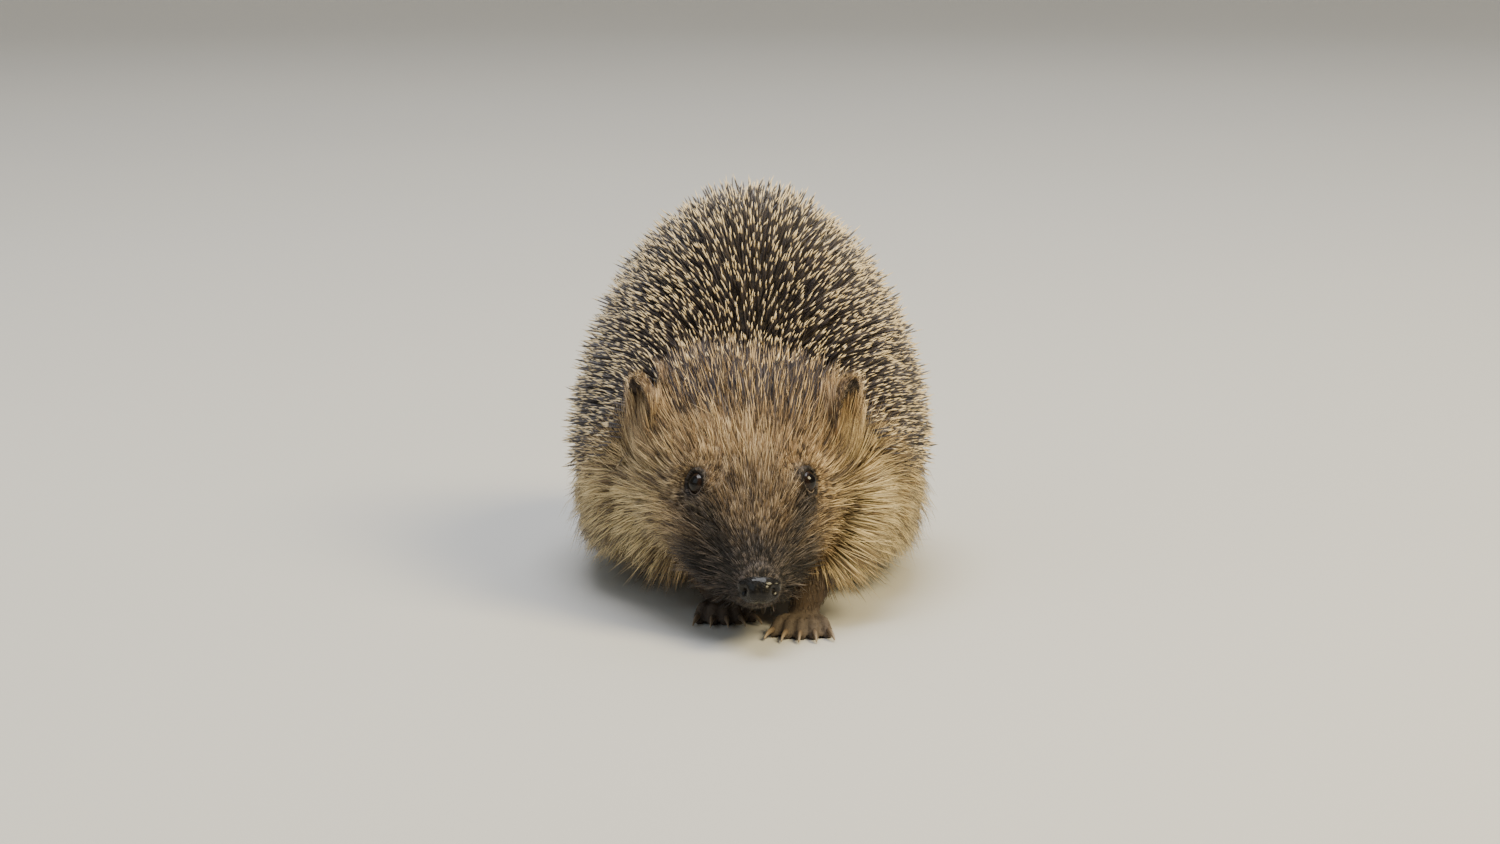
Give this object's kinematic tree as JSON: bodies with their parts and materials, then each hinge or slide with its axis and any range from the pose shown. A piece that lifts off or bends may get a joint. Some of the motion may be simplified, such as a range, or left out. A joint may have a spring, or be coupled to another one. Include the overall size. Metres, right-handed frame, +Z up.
{
  "type": "hedgehog figure",
  "caption": "Life-size still model of a European hedgehog walking with its head held low, with a domed spiny back, a soft fur skirt and a pointed snout.",
  "frame": {"origin": "bottom centre of the bounding box, on the floor between the feet", "axes": "+Z up; the animal faces -Y, so +Y runs from its nose to its tail; +X is its left side"},
  "size_m": [0.1306, 0.2356, 0.1406],
  "materials": {
    "spines": "stiff smooth spines banded cream and dark brown",
    "body_fur": "coarse soft fur",
    "face_fur": "short soft fur",
    "ear": "thin bare skin with fine hair",
    "paw": "bare wrinkled skin with sparse hair",
    "nose": "moist pebbled skin",
    "eye": "glossy wet black",
    "claw": "satin horn"
  },
  "bodies": {
    "root": {"trunk": "spines", "neck": "spines", "head": "face_fur", "snout": "face_fur", "lower_jaw": "face_fur", "nose": "nose", "eye_left": "eye", "eye_right": "eye", "ear_left": "ear", "ear_right": "ear", "tail": "body_fur", "leg_fore_left": "body_fur", "foot_fore_left": "paw", "claw_fore_left_1": "claw", "claw_fore_left_2": "claw", "claw_fore_left_3": "claw", "claw_fore_left_4": "claw", "claw_fore_left_5": "claw", "leg_fore_right": "body_fur", "foot_fore_right": "paw", "claw_fore_right_1": "claw", "claw_fore_right_2": "claw", "claw_fore_right_3": "claw", "claw_fore_right_4": "claw", "claw_fore_right_5": "claw", "leg_hind_left": "body_fur", "foot_hind_left": "paw", "claw_hind_left_1": "claw", "claw_hind_left_2": "claw", "claw_hind_left_3": "claw", "claw_hind_left_4": "claw", "claw_hind_left_5": "claw", "leg_hind_right": "body_fur", "foot_hind_right": "paw", "claw_hind_right_1": "claw", "claw_hind_right_2": "claw", "claw_hind_right_3": "claw", "claw_hind_right_4": "claw", "claw_hind_right_5": "claw"}
  },
  "joints": []
}
